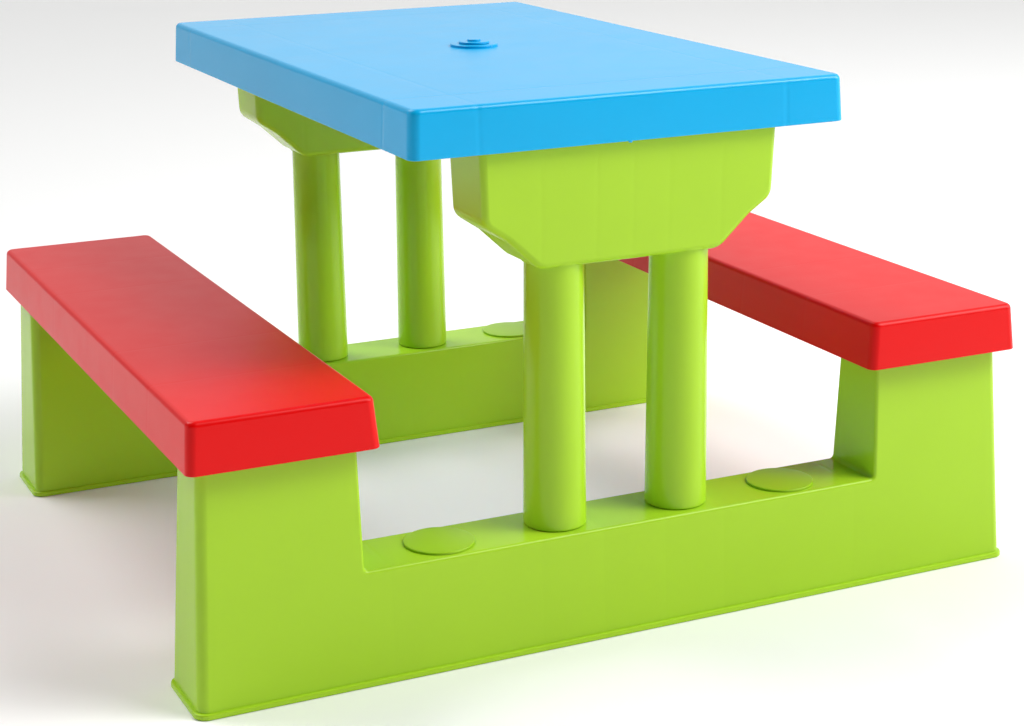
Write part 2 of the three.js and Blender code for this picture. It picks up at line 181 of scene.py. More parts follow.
def addLights(s):
    addWorld(s)
    for name, one in s["sources"].items():
        data = bpy.data.lights.new(name, "AREA" if one["distance"] else "SUN")
        if one["distance"]:
            data.size = one["width"]
        else:
            data.angle = math.radians(one["width"])
        data.energy = one["strength"]
        turn, lift = math.radians(one["turn"]), math.radians(one["lift"])
        away = Vector((math.sin(turn) * math.cos(lift), -math.cos(turn) * math.cos(lift), math.sin(lift)))
        aim = Vector((0, 0, s["aimHeight"]))
        obj = bpy.data.objects.new(name, data)
        obj.matrix_world = (Matrix.Translation(aim + away * one["distance"])
                            @ away.to_track_quat("Z", "Y").to_matrix().to_4x4())
        scene.collection.objects.link(obj)


floor = {
    "halfWidth": 30.0,  # metres
    "drop": 0.0004,     # metres below the feet, so that the two surfaces don't flicker
    "colour": "#FDFDFC", "roughness": 0.9, "specular": 0.1,
}


def addFloor(s):
    w = s["halfWidth"]
    mesh = bpy.data.meshes.new("floor")
    mesh.from_pydata([(-w, -w, 0), (w, -w, 0), (w, w, 0), (-w, w, 0)], [], [(0, 1, 2, 3)])
    mesh.transform(Matrix.Translation((0, 0, cadBounds[0][2] - s["drop"])))
    material = bpy.data.materials.new("pale matt floor")
    material.use_nodes = True
    shader = material.node_tree.nodes["Principled BSDF"]
    shader.inputs["Base Color"].default_value = hexColour(s["colour"])
    shader.inputs["Roughness"].default_value = s["roughness"]
    shader.inputs["Specular IOR Level"].default_value = s["specular"]
    mesh.materials.append(material)
    obj = bpy.data.objects.new("floor", mesh)
    scene.collection.objects.link(obj)


scene.view_settings.view_transform = "Standard"
addCamera(camera)
addLights(lights)
addFloor(floor)
print("camera, lights and floor done")


# Surfaces and solids

def skin(x, y, z, loop=False):
    # Quads between the neighbours of three grids in mm, whose columns close on themselves. Flat ends
    # close it, or with loop the last row joins the first.
    rows, columns = x.shape
    r, c = np.meshgrid(np.arange(rows if loop else rows - 1), np.arange(columns), indexing="ij")
    up, on = (r + 1) % rows, (c + 1) % columns
    corners = [r * columns + c, r * columns + on, up * columns + on, up * columns + c]
    faces = np.stack(corners, -1).reshape(-1, 4).tolist()
    if not loop:
        faces += [list(range(columns))[::-1], list(range((rows - 1) * columns, rows * columns))]
    mesh = bpy.data.meshes.new("body")
    mesh.from_pydata((np.stack([x, y, z], -1).reshape(-1, 3) * mm).tolist(), [], faces)
    obj = bpy.data.objects.new("body", mesh)
    scene.collection.objects.link(obj)
    return obj


def ringBody(levels, centre=(0, 0), steps=10):
    # A rounded rectangle at each level, from the lowest up: rows of height, half width, half length
    # and corner radius. Each corner is a quarter turn about its own centre.
    z, halfX, halfY, radius = np.array(levels, float).T[:, :, None]
    quarter = np.repeat(np.arange(4), steps + 1)
    angle = np.tile(np.linspace(0, math.pi / 2, steps + 1), 4) + quarter * math.pi / 2
    signX = np.array([1, -1, -1, 1])[quarter]
    signY = np.array([1, 1, -1, -1])[quarter]
    x = centre[0] + signX * (halfX - radius) + radius * np.cos(angle)
    y = centre[1] + signY * (halfY - radius) + radius * np.sin(angle)
    return skin(x, y, z + 0 * x)


def roundBody(profile, centre=(0, 0), columns=96, loop=False):
    # A profile of radius and height, its outside going up, turned once about an upright at centre
    radius, z = np.array(profile, float).T[:, :, None]
    angle = np.arange(columns) * 2 * math.pi / columns
    x = centre[0] + radius * np.cos(angle)
    return skin(x, centre[1] + radius * np.sin(angle), z + 0 * x, loop)


def arc(centre, radius, start, stop, steps=5):
    # Points of radius and height round part of a circle, from one direction in degrees to another
    turn = np.radians(np.linspace(start, stop, steps + 1))
    return [(centre[0] + radius * math.cos(t), centre[1] + radius * math.sin(t)) for t in turn]


def roundedOutline(corners, steps):
    # A closed polygon, counterclockwise, with each corner replaced by an arc. Rows of corners are
    # x, z, corner radius, edge rounding before it and edge rounding after it.
    # The arc's ends lie radius / tan(half the angle) along both sides; between them the direction from
    # the arc's centre turns evenly. Gives points, outward normals and edge roundings.
    table = np.array(corners, float)
    p, radius = table[:, :2], table[:, 2:3]
    back, ahead = np.roll(p, 1, 0) - p, np.roll(p, -1, 0) - p
    back /= np.linalg.norm(back, axis=1, keepdims=True)
    ahead /= np.linalg.norm(ahead, axis=1, keepdims=True)
    half = np.arccos(np.clip((back * ahead).sum(1, keepdims=True), -1, 1)) / 2
    inward = (back + ahead) / np.linalg.norm(back + ahead, axis=1, keepdims=True)
    centre = p + inward * radius / np.sin(half)
    reach = radius / np.tan(half)
    first, last = p + back * reach - centre, p + ahead * reach - centre
    turn = (math.pi - 2 * half)[:, :, None]
    s = np.linspace(0, 1, steps + 1)[None, :, None]
    spoke = (np.sin((1 - s) * turn) * first[:, None] + np.sin(s * turn) * last[:, None]) / np.sin(turn)
    convex = np.sign(back[:, 1] * ahead[:, 0] - back[:, 0] * ahead[:, 1])[:, None, None]
    edge = (1 - s) * table[:, None, 3:4] + s * table[:, None, 4:5]
    points = centre[:, None] + spoke
    normals = convex * spoke / radius[:, :, None]
    return points.reshape(-1, 2), normals.reshape(-1, 2), edge.reshape(-1)


def acrossBody(corners, centreY, halfDepth, lean, inset=0, cornerSteps=8, steps=6, leastEdge=0.15):
    # An outline in X and Z carried along Y, all of it moved in by inset. Its half depth shrinks by lean
    # for each unit of height. Both ends are rounded with the edge rounding r: at angle a the outline has
    # moved in by r(1 - sin a) and the end has moved in by r(1 - cos a).
    outline, normals, edge = roundedOutline(corners, cornerSteps)
    r = np.maximum(edge - inset, leastEdge)
    a = np.linspace(0, math.pi / 2, steps + 1)
    a = np.concatenate([a, a[::-1]])[:, None]
    side = np.repeat([1, -1], steps + 1)[:, None]
    moved = outline[None] - normals[None] * (inset + r * (1 - np.sin(a)))[:, :, None]
    x, z = moved[:, :, 0], moved[:, :, 1]
    return skin(x, centreY + side * (halfDepth - inset - lean * z - r * (1 - np.cos(a))), z)


def combined(body, tools, operation):
    # Joins closed bodies to one body or cuts them out of it, and leaves only that one
    for tool in tools:
        modifier = body.modifiers.new("tool", "BOOLEAN")
        modifier.operation = operation
        modifier.solver = "MANIFOLD"
        modifier.object = tool
    bpy.context.view_layer.update()
    mesh = bpy.data.meshes.new_from_object(body.evaluated_get(bpy.context.evaluated_depsgraph_get()))
    body.modifiers.clear()
    body.data = mesh
    for tool in tools:
        bpy.data.objects.remove(tool)
    return body


def joined(body, tools):
    return combined(body, tools, "UNION")


def cutBy(body, tools):
    return combined(body, tools, "DIFFERENCE")


def copyOf(obj, matrix):
    twin = bpy.data.objects.new(obj.name, obj.data.copy())
    twin.data.transform(matrix)
    scene.collection.objects.link(twin)
    return twin


def finish(obj, node, suffix, material, sharp=32):
    # Names a piece after its CAD node, smooths it between edges that turn by more than sharp degrees,
    # and ties it to the node's body
    obj.name = obj.data.name = f"{node}_{suffix}"
    obj.data.materials.clear()
    obj.data.materials.append(material)
    count = len(obj.data.polygons)
    obj.data.polygons.foreach_set("use_smooth", np.ones(count, bool))
    obj.data.polygons.foreach_set("material_index", np.zeros(count, np.int32))
    obj.data.set_sharp_from_angle(angle=math.radians(sharp))
    weighted = obj.modifiers.new("even normals", "WEIGHTED_NORMAL")
    weighted.keep_sharp = True
    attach(obj, frame["nodes"][node]["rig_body"])
    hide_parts(node)


# Materials

def newMaterial(name, colour, metallic, ior):
    material = bpy.data.materials.new(name)
    material.use_nodes = True
    material.diffuse_color = hexColour(colour)
    shader = material.node_tree.nodes["Principled BSDF"]
    shader.inputs["Metallic"].default_value = metallic
    shader.inputs["IOR"].default_value = ior
    return material, material.node_tree, shader


def noiseAt(tree, place, size, detail):
    # Noise whose blobs are about size mm across
    return addNode(tree, "ShaderNodeTexNoise", {"Scale": 1 / (size * mm), "Detail": detail},
                   {"Vector": (place, "Object")})


def spread(tree, noise, middle, reach, low=0.3, high=0.7):
    # Noise, which stays mostly between low and high, turned into values within reach of middle
    return addNode(tree, "ShaderNodeMapRange", {
        "From Min": low, "From Max": high, "To Min": middle - reach, "To Max": middle + reach},
        {"Value": (noise, 0)})


# Sizes and heights are in mm
polypropylene = {
    "grainSize": 1.8,       # the mould's own grain is nearer 0.3 and wouldn't show, so it is coarser
    "grainHeight": 0.0012,
    "waveSize": 70.0,       # the slow unevenness of a large moulded wall
    "waveHeight": 0.06,
    "sinkWidth": 4.0,       # half the width of a sink line over a rib
    "patchSize": 26.0,      # patches of slightly different gloss
    "patchReach": 0.015,    # of roughness
    "driftSize": 150.0,     # slow drift of colour along the flow of the plastic
    "driftReach": 0.02,     # of brightness
}


def moulded(name, plastic, lines=(), s=polypropylene):
    # Injection-moulded polypropylene: a strong even colour under a satin skin, with highlights that
    # waver a little and faint sink lines where ribs stand behind the wall.
    # Each line is an axis, 0 or 1, and a distance in mm to both sides of the plane where that axis is 0.
    material, tree, shader = newMaterial(name, plastic["colour"], 0.0, plastic["ior"])
    place = addNode(tree, "ShaderNodeTexCoord", {}, {})
    drift = spread(tree, noiseAt(tree, place, s["driftSize"], 2.0), 1.0, s["driftReach"])
    tinted = addNode(tree, "ShaderNodeHueSaturation", {"Color": hexColour(plastic["colour"])},
                     {"Value": (drift, 0)})
    tree.links.new(tinted.outputs[0], shader.inputs["Base Color"])
    gloss = spread(tree, noiseAt(tree, place, s["patchSize"], 2.0), plastic["roughness"], s["patchReach"])
    tree.links.new(gloss.outputs[0], shader.inputs["Roughness"])
    wave = addNode(tree, "ShaderNodeBump", {"Distance": s["waveHeight"] * mm},
                   {"Height": (noiseAt(tree, place, s["waveSize"], 0.0), 0)})
    surface = addNode(tree, "ShaderNodeBump", {"Distance": s["grainHeight"] * mm},
                      {"Height": (noiseAt(tree, place, s["grainSize"], 1.0), 0), "Normal": (wave, 0)})
    split = addNode(tree, "ShaderNodeSeparateXYZ", {}, {0: (place, "Object")})
    for axis, distance in lines:
        # A groove's depth is 1 on the line and falls smoothly to 0 at sinkWidth from it
        away = addNode(tree, "ShaderNodeMath", {"operation": "ABSOLUTE"}, {0: (split, axis)})
        off = addNode(tree, "ShaderNodeMath", {"operation": "SUBTRACT", 1: distance * mm}, {0: (away, 0)})
        gap = addNode(tree, "ShaderNodeMath", {"operation": "ABSOLUTE"}, {0: (off, 0)})
        groove = addNode(tree, "ShaderNodeMapRange", {
            "interpolation_type": "SMOOTHSTEP", "From Max": s["sinkWidth"] * mm, "To Min": 1.0,
            "To Max": 0.0}, {"Value": (gap, 0)})
        surface = addNode(tree, "ShaderNodeBump", {"Distance": plastic["sink"] * mm, "invert": True},
                          {"Height": (groove, 0), "Normal": (surface, 0)})
    tree.links.new(surface.outputs[0], shader.inputs["Normal"])
    return material


# The clouds' size is in mm, and metals keep the usual ior
zinc = {"colour": "#C9CDD2", "ior": 1.5, "roughness": 0.35, "cloudSize": 1.5, "cloudReach": 0.1}


def zincPlated(name, s):
    # Zinc-plated steel: pale grey metal with a faint blue cast, cloudy where the plating is passivated
    material, tree, shader = newMaterial(name, s["colour"], 1.0, s["ior"])
    shader.inputs["Base Color"].default_value = hexColour(s["colour"])
    place = addNode(tree, "ShaderNodeTexCoord", {}, {})
    cloud = spread(tree, noiseAt(tree, place, s["cloudSize"], 3.0), s["roughness"], s["cloudReach"])
    tree.links.new(cloud.outputs[0], shader.inputs["Roughness"])
    return material


# Tabletop and benches. In the pieces' dictionaries lengths are in mm, and a lean is mm per mm of height.

def trayLevels(s, foot, top, rimX, rimY, inset=0, below=0, leastCorner=0.3):
    # The outside of an upturned tray from its rim up: a rounded rim, a skirt that closes in by flare, and
    # a quarter-round top edge. inset moves every wall in, and below carries the rim further down.
    slope = s["flare"] / (top - foot)
    fillet, rim = s["fillet"] - inset / 2, s["rim"]
    height = top - inset - fillet
    rows = [(foot + rim * (1 - math.cos(t)) - below, -rim * (1 - math.sin(t))) for t in (0, 0.5, 1.0)]
    rows += [(foot + rim, 0.0)] if not inset else []
    rows += [(height + z, r - fillet) for r, z in arc((0, 0), fillet, 0, 90, 6)]
    levels = []
    for z, out in rows:
        closing = slope * max(z - foot, 0)
        corner = max(s["corner"] - inset + out, leastCorner)
        levels.append((z, rimX - inset + out - closing, rimY - inset + out - closing, corner))
    return levels


def ribBody(x0, x1, y0, y1, foot, root, draft=0.25, edge=0.35):
    # A rib that hangs from root down to foot, and is thinner at its foot by draft on each side
    centre = ((x0 + x1) / 2, (y0 + y1) / 2)
    halfX, halfY = (x1 - x0) / 2, (y1 - y0) / 2
    return ringBody([
        (foot, halfX - draft - edge, halfY - draft - edge, edge),
        (foot + edge, halfX - draft, halfY - draft, edge),
        (root, halfX, halfY, edge),
    ], centre, 2)


def bossBody(place, foot, root, radius, chamfer=0.5, draft=0.4, flare=2):
    # A screw boss that hangs from root down to foot, and flares where it meets the wall
    return roundBody([(radius - chamfer, foot), (radius, foot + chamfer), (radius + draft, root - flare),
                      (radius + flare, root)], place, 32)


def rodBody(place, bottom, top, radius, columns=24):
    # An upright rod, to join on or to cut a hole with
    return roundBody([(radius, bottom), (radius, top)], place, columns)


def tray(s, node, collar, alongPlaces, acrossPlaces, bossPlaces):
    # Shell, hollow, ribs and screw bosses. Rib places are distances from the piece's own middle.
    low, high = cadBox(node)
    midX = (low[0] + high[0]) / 2
    rimX, rimY = (high[0] - low[0]) / 2, high[1]
    foot, top = low[2], high[2] - collar
    ribFoot, root = top - s["wall"] - s["ribHeight"], top - s["wall"] / 2
    endX, endY = rimX - s["flare"] - s["wall"] / 2, rimY - s["flare"] - s["wall"] / 2
    body = ringBody(trayLevels(s, foot, top, rimX, rimY), (midX, 0))
    hollow = ringBody(trayLevels(s, foot, top, rimX, rimY, s["wall"], s["hollowBelow"]), (midX, 0))
    body = cutBy(body, [hollow])
    t = s["ribThickness"] / 2
    ribs = [ribBody(midX + x - t, midX + x + t, -endY, endY, ribFoot, root) for x in alongPlaces]
    ribs += [ribBody(midX - endX, midX + endX, y - t, y + t, ribFoot, root) for y in acrossPlaces]
    body = joined(body, ribs)
    body = joined(body, [bossBody(place, ribFoot, root, s["bossRadius"]) for place in bossPlaces])
    pilotTop = top - s["wall"] - s["pilotFloor"]
    return cutBy(body, [rodBody(place, ribFoot - past, pilotTop, s["pilot"]) for place in bossPlaces])


tabletop = {
    "wall": 3.0, "flare": 2.2, "corner": 9.0, "fillet": 4.5, "rim": 0.8, "hollowBelow": 5,
    "ribHeight": 13.0, "ribThickness": 2.4,
    "ribsAlong": (-144.5, 0, 144.5), "ribsAcross": (-271, -90.3, 90.3, 271),
    "bossRadius": 6.0, "pilot": 2.2, "pilotFloor": 1,
    "collarRadius": 23.0, "collarHeight": 2.4, "collarEdge": 1.1, "collarPilotFloor": 1,
    "gateX": -7.0, "gateRadius": 2.0, "gateEdge": 0.5, "gateDrop": 1.2, "gateRoot": 1,
    "bore": 12.8, "sleeveClearing": 30.0,
}


def makeTabletop(s, material):
    low, high = cadBox("tabletop")
    top = high[2] - s["collarHeight"]
    skinFoot, collarTop = top - s["wall"], top + s["collarHeight"]
    body = tray(s, "tabletop", s["collarHeight"], s["ribsAlong"], s["ribsAcross"],
                placesOf("table_screw"))
    # Room among the ribs for the sleeve's flange
    clearingFoot = skinFoot - s["ribHeight"] - past
    clearing = rodBody((0, 0), clearingFoot, skinFoot, s["sleeveClearing"], boreColumns)
    body = cutBy(body, [clearing])
    edge = s["collarEdge"]
    profile = [(s["collarRadius"], top - s["wall"] / 2)]
    profile += arc((s["collarRadius"] - edge, collarTop - edge), edge, 0, 90)
    # The stub that trimming left where the plastic ran in, under the front rim
    stubPlace = (s["gateX"], low[1] + s["wall"] / 2)
    stub = roundBody([(s["gateRadius"] - s["gateEdge"], low[2] - s["gateDrop"]),
                      (s["gateRadius"], low[2] + s["gateRoot"])], stubPlace, 16)
    body = joined(body, [roundBody(profile), stub])
    bore = rodBody((0, 0), skinFoot - past, collarTop + past, s["bore"], boreColumns)
    holes = [rodBody(place, skinFoot - past, collarTop - s["collarPilotFloor"], s["pilot"])
             for place in placesOf("sleeve_screw")]
    body = cutBy(body, [bore] + holes)
    finish(body, "tabletop", "moulding", material)


benches = {
    "wall": 3.0, "flare": 3.5, "corner": 8.0, "fillet": 4.5, "rim": 0.8, "hollowBelow": 5,
    "ribHeight": 18.0, "ribThickness": 2.4,
    "ribsAlong": (-31.3, 31.3), "ribSpacing": 111.67,
    "bossRadius": 6.0, "pilot": 2.2, "pilotFloor": 1,
}


def makeBench(s, hand, material):
    across = [i * s["ribSpacing"] for i in (-2, -1, 0, 1, 2)]
    screwPlaces = [place for end in ("front", "back") for place in placesOf(f"seat_screw_{end}_{hand}")]
    body = tray(s, f"bench_{hand}", 0, s["ribsAlong"], across, screwPlaces)
    finish(body, f"bench_{hand}", "moulding", material)


# The umbrella's sleeve and plug

umbrella = {
    "boreStep": 0.4,   # how much wider the sleeve's bore is than the tabletop's, in radius
    "tubeWall": 2.2, "tubeEdge": 0.4, "flange": 3.0, "flangeEdge": 0.5, "fillet": 1.5, "screwHole": 2.2,
    "plugPlay": 0.5,   # between the plug's spigot and the tabletop's bore
    "plugSkin": 1.8, "plugEdge": 0.8, "plugRadius": 14.7, "plugHeight": 1.9, "knobRadius": 6.5,
    "plugSpigot": 20.0,
}


def makeSleeve(s, material):
    low, high = cadBox("umbrella_sleeve")
    foot, top = low[2], high[2]
    bore, flange = tabletop["bore"] + s["boreStep"], high[0]
    tube, under = bore + s["tubeWall"], top - s["flange"]
    tubeEdge, flangeEdge = s["tubeEdge"], s["flangeEdge"]
    profile = [(bore, foot), (tube - tubeEdge, foot), (tube, foot + tubeEdge)]
    profile += arc((tube + s["fillet"], under - s["fillet"]), s["fillet"], 180, 90)
    profile += [(flange - flangeEdge, under), (flange, under + flangeEdge), (flange, top), (bore, top)]
    holes = [rodBody(place, under - past, top + past, s["screwHole"])
             for place in placesOf("sleeve_screw")]
    body = cutBy(roundBody(profile, loop=True), holes)
    finish(body, "umbrella_sleeve", "moulding", material)


def makePlug(s, material):
    low, high = cadBox("umbrella_plug")
    foot, top = low[2], high[2]
    base = foot + s["plugSpigot"]
    step = base + s["plugHeight"]
    spigot, edge = tabletop["bore"] - s["plugPlay"], s["plugEdge"]
    inner = spigot - s["plugSkin"]
    profile = [(inner, base + s["plugSkin"]), (inner, foot), (spigot - leadWidth, foot),
               (spigot, foot + leadHeight), (spigot, base), (s["plugRadius"], base)]
    profile += arc((s["plugRadius"] - edge, step - edge), edge, 0, 90)
    profile += [(s["knobRadius"], step)]
    profile += arc((s["knobRadius"] - edge, top - edge), edge, 0, 90)
    finish(roundBody(profile), "umbrella_plug", "moulding", material)


# End frames, each with two legs and a beam in one moulding that is open underneath

endFrame = {
    "wall": 3.0, "lean": 0.0575, "innerLean": 0.0145, "faceLean": 0.048,
    "legWidth": 142.8, "beamTop": 100.5,
    "lip": 2.7, "lipHeight": 4.8, "lipEdge": 0.4, "lipBevel": 1.5, "lipBreak": 0.3, "lipCorner": 11.5,
    "outerEdge": 9.0, "outerCorner": 9.5, "innerEdge": 3.0, "innerCorner": 3.7, "fillet": 4.0,
    "below": -15.0,     # how far down the legs are drawn before all that is below the floor is cut off
    "cutBelow": 10,     # how much deeper the body that cuts it reaches
    "ribPlaces": (-212.2, -116.1, 0, 116.1, 212.2), "ribThickness": 2.4, "ribFoot": 7.5, "ribCorner": 0.3,
    "postBore": 23.0, "coverBore": 20.5, "pilot": 2.2, "cupFloor": 78.5, "coverCollarFoot": 87.5,
}


def frameCorners(s, footX, top):
    # Outline of legs and beam, counterclockwise from the lower left. A leg narrows as it rises: its outer
    # side moves in by lean and its inner side moves out by innerLean for each unit of height.
    def outer(z):
        return footX - s["lean"] * z

    def inner(z):
        return outer(s["beamTop"]) - s["legWidth"] + s["innerLean"] * (z - s["beamTop"])

    wide, narrow, foot, beam = s["outerEdge"], s["innerEdge"], s["below"], s["beamTop"]
    return [
        (-outer(foot), foot, s["outerCorner"], wide, wide),
        (outer(foot), foot, s["outerCorner"], wide, wide),
        (outer(top), top, s["outerCorner"], wide, narrow),
        (inner(top), top, s["innerCorner"], narrow, narrow),
        (inner(beam), beam, s["fillet"], narrow, narrow),
        (-inner(beam), beam, s["fillet"], narrow, narrow),
        (-inner(top), top, s["innerCorner"], narrow, narrow),
        (-outer(top), top, s["outerCorner"], narrow, wide),
    ]


def beamRib(s, x, middle, reach, root):
    # A rib between the beam's two faces, which close in by faceLean for each unit of height
    return ringBody([(z, s["ribThickness"] / 2, reach - s["faceLean"] * z, s["ribCorner"])
                     for z in (s["ribFoot"], root)], (x, middle), 2)


def makeEndFrame(s, end, material):
    low, high = cadBox(f"end_frame_{end}")
    wall, legTop, beamTop = s["wall"], high[2], s["beamTop"]
    middle = (low[1] + high[1]) / 2
    footX, footY = high[0] - s["lip"], (high[1] - low[1]) / 2 - s["lip"]
    corners = frameCorners(s, footX, legTop)
    body = acrossBody(corners, middle, footY, s["faceLean"])
    lipX, lipY, lipTop, lipCorner = footX + s["lip"], footY + s["lip"], s["lipHeight"], s["lipCorner"]
    edge, bevel = s["lipEdge"], s["lipBevel"]
    broken = bevel * s["lipBreak"]
    lip = ringBody([
        (0, lipX - edge, lipY - edge, lipCorner),
        (edge, lipX, lipY, lipCorner),
        (lipTop - bevel, lipX, lipY, lipCorner),
        (lipTop - broken, lipX - broken, lipY - broken, lipCorner),
        (lipTop, lipX - bevel, lipY - bevel, lipCorner - bevel),
    ], (0, middle))
    body = joined(body, [lip])
    body = cutBy(body, [acrossBody(corners, middle, footY, s["faceLean"], wall)])
    # Ribs, closed cups for the posts' spigots and open collars for the covers' spigots
    root, cupFloor, collarFoot = beamTop - wall / 2, s["cupFloor"], s["coverCollarFoot"]
    postPlaces, coverPlaces = placesOf(f"post_{end}"), placesOf(f"beam_cap_{end}")
    inside = [beamRib(s, x, middle, footY - wall / 2, root) for x in s["ribPlaces"]]
    cup, collar = s["postBore"] + wall, s["coverBore"] + wall
    inside += [rodBody(place, cupFloor - wall, root, cup, boreColumns) for place in postPlaces]
    inside += [rodBody(place, collarFoot, root, collar, boreColumns) for place in coverPlaces]
    body = joined(body, inside)
    under = ringBody([(z, footX * 2, footY * 2, 1) for z in (s["below"] - s["cutBelow"], 0)], (0, middle))
    cuts = [rodBody(place, cupFloor, beamTop + past, s["postBore"], boreColumns) for place in postPlaces]
    cuts += [rodBody(place, collarFoot - past, beamTop + past, s["coverBore"], boreColumns)
             for place in coverPlaces]
    cuts += [rodBody(place, cupFloor - wall - past, cupFloor + past, s["pilot"]) for place in postPlaces]
    cuts += [rodBody(place, legTop - wall - past, legTop + past, s["pilot"])
             for place in placesOf(f"seat_screw_{end}")]
    body = cutBy(body, [under] + cuts)
    finish(body, f"end_frame_{end}", "moulding", material)


# Brackets between the posts and the tabletop

brackets = {
    "wall": 3.0, "faceLean": 0.02, "sideLean": 0.038, "edge": 6.0, "openEdge": 0.15,
    "floorHalf": 86.6, "floorCorner": 19.0,
    "crookX": 115.7, "crookRise": 27.1, "crookRadius": 12.0,
    "shoulderX": 138.0, "shoulderRise": 42.2, "shoulderRadius": 14.0,
    "cutAbove": 10,     # how far the hollow's body reaches above the open top
    "earWidth": 15.0, "earInset": 5.0, "earCorner": 6.0,
    "socketBore": 26.0, "socketWall": 1.6, "socketRise": 26.3, "pilot": 2.2, "headWell": 5.2,
    "webPlaces": (-60.7, 0, 60.7), "webThickness": 2.4,
    "webDraft": -0.1,   # on each side, so that a web is thicker at its foot
}


def bracketCorners(s, bottom, top, topX):
    # Outline, counterclockwise from the lower left: floor, slope, crook, shoulder, upright side, open top
    rows = [
        (s["floorHalf"], bottom, s["floorCorner"], s["edge"], s["edge"]),
        (s["crookX"], bottom + s["crookRise"], s["crookRadius"], s["edge"], s["edge"]),
        (s["shoulderX"], bottom + s["shoulderRise"], s["shoulderRadius"], s["edge"], s["edge"]),
        (topX, top, s["openEdge"] * 2, s["edge"], s["openEdge"]),
    ]
    left = [(-x, z, radius, after, before) for x, z, radius, before, after in rows]
    return [left[0]] + rows + left[:0:-1]


def makeBracket(s, end, material):
    # Made at the end of the table that +Y points to, and for the other end turned half way round
    low, high = cadBox(f"bracket_{end}")
    bottom, top, wall = low[2], high[2], s["wall"]
    middle, halfY = (low[1] + high[1]) / 2, (high[1] - low[1]) / 2
    centreY, postY = abs(middle), abs(middleOf(f"post_{end}_left")[1])
    wallX = high[0] - s["earWidth"]
    half = halfY - s["faceLean"] * top
    body = acrossBody(bracketCorners(s, bottom, top, wallX), centreY, half, -s["faceLean"])
    hollow = bracketCorners(s, bottom, top + s["cutAbove"], wallX + s["cutAbove"] * s["sideLean"])
    body = cutBy(body, [acrossBody(hollow, centreY, half, -s["faceLean"], wall)])
    # Sockets for the posts' tops, and webs from face to face
    roof, t = bottom + s["socketRise"], s["webThickness"] / 2
    postPlaces = [(x, postY) for x, y in placesOf(f"post_{end}")]
    socket = s["socketBore"] + s["socketWall"]
    sockets = [rodBody(place, bottom + wall / 2, roof + wall, socket, boreColumns)
               for place in postPlaces]
    webTop = top - (top - bottom) / 4
    webs = [ribBody(x - t, x + t, centreY - half - wall, centreY + half + wall,
                    bottom + wall / 2 if not x else roof + wall / 2, webTop, s["webDraft"])
            for x in s["webPlaces"]]
    body = joined(body, sockets + webs)
    # Ears at both sides that the table screws pass through
    inner, earY = wallX - wall / 2, halfY - s["earInset"]
    ears = [ringBody([(z, (high[0] - inner) / 2, earY, s["earCorner"]) for z in (top - wall, top)],
                     (side * (high[0] + inner) / 2, centreY)) for side in (-1, 1)]
    body = joined(body, ears)
    cuts = [rodBody(place, bottom - past, roof, s["socketBore"], boreColumns) for place in postPlaces]
    cuts += [rodBody(place, roof - past, roof + wall + past, s["pilot"]) for place in postPlaces]
    cuts += [rodBody(place, roof + wall, top, s["headWell"]) for place in postPlaces]
    cuts += [rodBody((x, abs(y)), top - wall - past, top + past, s["pilot"])
             for x, y in placesOf(f"table_screw_{end}")]
    body = cutBy(body, cuts)
    if middle < 0:
        body.data.transform(Matrix.Rotation(math.pi, 4, "Z"))
    finish(body, f"bracket_{end}", "moulding", material)


# Posts and the covers of the beams' spare holes

posts = {
    "baseRadius": 27.8, "baseEdge": 1.5, "topRadius": 25.4, "topEdge": 1,
    "spigotRadius": 22.5, "spigotLength": 22.0, "spigotLead": 0.8,
    "wall": 3.0, "shoulder": 6, "bossRadius": 6.0, "bossLength": 12.0, "pilot": 2.2,
}


def makePost(s, node, material):
    # The profile goes up the outside, down the inside and back to where it began: a tapering tube
    # with a spigot below, a closed end above, and a screw boss inside each end
    low, high = cadBox(node)
    foot, end, pilot, boss, wall = low[2], high[2], s["pilot"], s["bossRadius"], s["wall"]
    base, edge, spigot, lead = foot + s["spigotLength"], s["baseEdge"], s["spigotRadius"], s["spigotLead"]
    topRadius, topEdge = s["topRadius"], s["topEdge"]
    lowBossEnd, highBossEnd = foot + s["bossLength"], end - s["bossLength"]
    profile = [(pilot, foot), (spigot - lead, foot), (spigot, foot + lead), (spigot, base)]
    profile += arc((s["baseRadius"] - edge, base + edge), edge, -90, 0)
    profile += [(topRadius, end - topEdge), (topRadius - topEdge, end), (pilot, end)]
    profile += [(pilot, highBossEnd), (boss, highBossEnd), (boss, end - wall)]
    profile += [(topRadius - wall, end - wall), (s["baseRadius"] - wall, base + s["shoulder"])]
    profile += [(spigot - wall, base), (spigot - wall, foot + wall), (boss, foot + wall)]
    profile += [(boss, lowBossEnd), (pilot, lowBossEnd)]
    body = roundBody(profile, placesOf(node)[0], 128, loop=True)
    finish(body, node, "moulding", material)


covers = {
    "radius": 31.0, "edge": 1.0, "rise": 2.0, "crown": 0.7,
    "spigotRadius": 20.0, "spigotLength": 10.0, "skin": 1.6,
}


def makeCover(s, node, material):
    # A disc on a hollow spigot. The crown's height falls with the square of the distance from its middle.
    foot, spigot, edge = cadBox(node)[0][2], s["spigotRadius"], s["edge"]
    base, inner, rim = foot + s["spigotLength"], spigot - s["skin"], s["radius"] - edge
    profile = [(inner, base + s["skin"]), (inner, foot), (spigot - leadWidth, foot),
               (spigot, foot + leadHeight), (spigot, base), (s["radius"], base)]
    profile += arc((rim, base + s["rise"] - edge), edge, 0, 80)
    across = np.linspace(0.93, 0.03, 12)
    profile += [(rim * a, base + s["rise"] + s["crown"] * (1 - a * a)) for a in across]
    body = roundBody(profile, placesOf(node)[0])
    finish(body, node, "moulding", material)


# Screws

